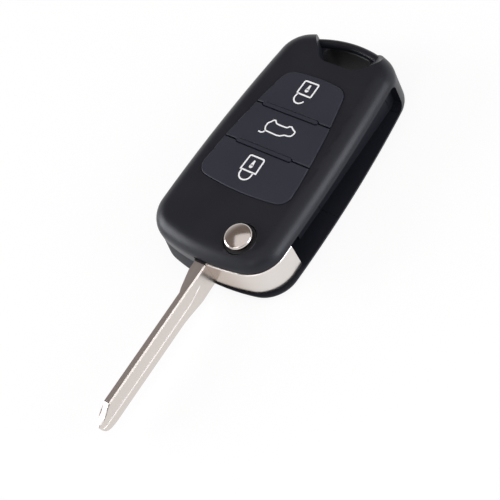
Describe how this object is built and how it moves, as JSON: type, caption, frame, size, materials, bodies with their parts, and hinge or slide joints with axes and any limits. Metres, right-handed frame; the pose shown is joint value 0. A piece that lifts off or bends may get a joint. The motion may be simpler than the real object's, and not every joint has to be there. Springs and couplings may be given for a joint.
{
  "type": "flip key remote shell",
  "caption": "Flip key remote shell: black case with button pad and domed release button, plain blade that folds into the side slot, loop for a key ring.",
  "frame": {"origin": "centre of the flat rear face of the case, half way between the blade end and the ring end", "axes": "+X across the case towards the blade slot, +Y along the case from the blade end towards the key ring end, +Z out of the button face"},
  "size_m": [0.0421, 0.1231, 0.0169],
  "materials": {
    "case_black": "satin moulded black plastic",
    "pad_rubber": "matte dark grey silicone rubber",
    "nickel_silver": "nickel plated, lightly brushed",
    "button_chrome": "polished chrome plating",
    "screw_steel": "zinc plated steel"
  },
  "bodies": {
    "case": {"front_shell": "case_black", "pivot_cover": "case_black", "battery_cover": "case_black", "keypad_web": "pad_rubber", "board_tray": "case_black", "tray_screws": "screw_steel", "cover_screw": "screw_steel", "spring_washer": "screw_steel"},
    "blade": {"blade_carrier": "nickel_silver", "key_blade": "nickel_silver", "blade_pin": "screw_steel"},
    "release": {"release_cap": "button_chrome", "release_stem": "case_black", "flip_spring": "screw_steel"},
    "unlock": {"unlock_key": "pad_rubber"},
    "tailgate": {"tailgate_key": "pad_rubber"},
    "lock": {"lock_key": "pad_rubber"}
  },
  "joints": [
    {"name": "blade_fold", "type": "hinge", "parent": "case", "child": "blade", "pos_m": [0.0088, -0.0283, 0.0065], "axis": [0, 0, 1], "range_deg": [0, 179.12], "stiffness_Nm_per_rad": 0.003},
    {"name": "release_press", "type": "slide", "parent": "blade", "child": "release", "axis": [0, 0, -1], "range_m": [0, 0.002], "stiffness_N_per_m": 1000, "springref_m": -0.001, "deforming": ["flip_spring"]},
    {"name": "unlock_press", "type": "slide", "parent": "case", "child": "unlock", "axis": [0, 0, -1], "range_m": [0, 0.0006], "stiffness_N_per_m": 3000, "springref_m": -0.0002},
    {"name": "tailgate_press", "type": "slide", "parent": "case", "child": "tailgate", "axis": [0, 0, -1], "range_m": [0, 0.0006], "stiffness_N_per_m": 3000, "springref_m": -0.0002},
    {"name": "lock_press", "type": "slide", "parent": "case", "child": "lock", "axis": [0, 0, -1], "range_m": [0, 0.0006], "stiffness_N_per_m": 3000, "springref_m": -0.0002}
  ]
}
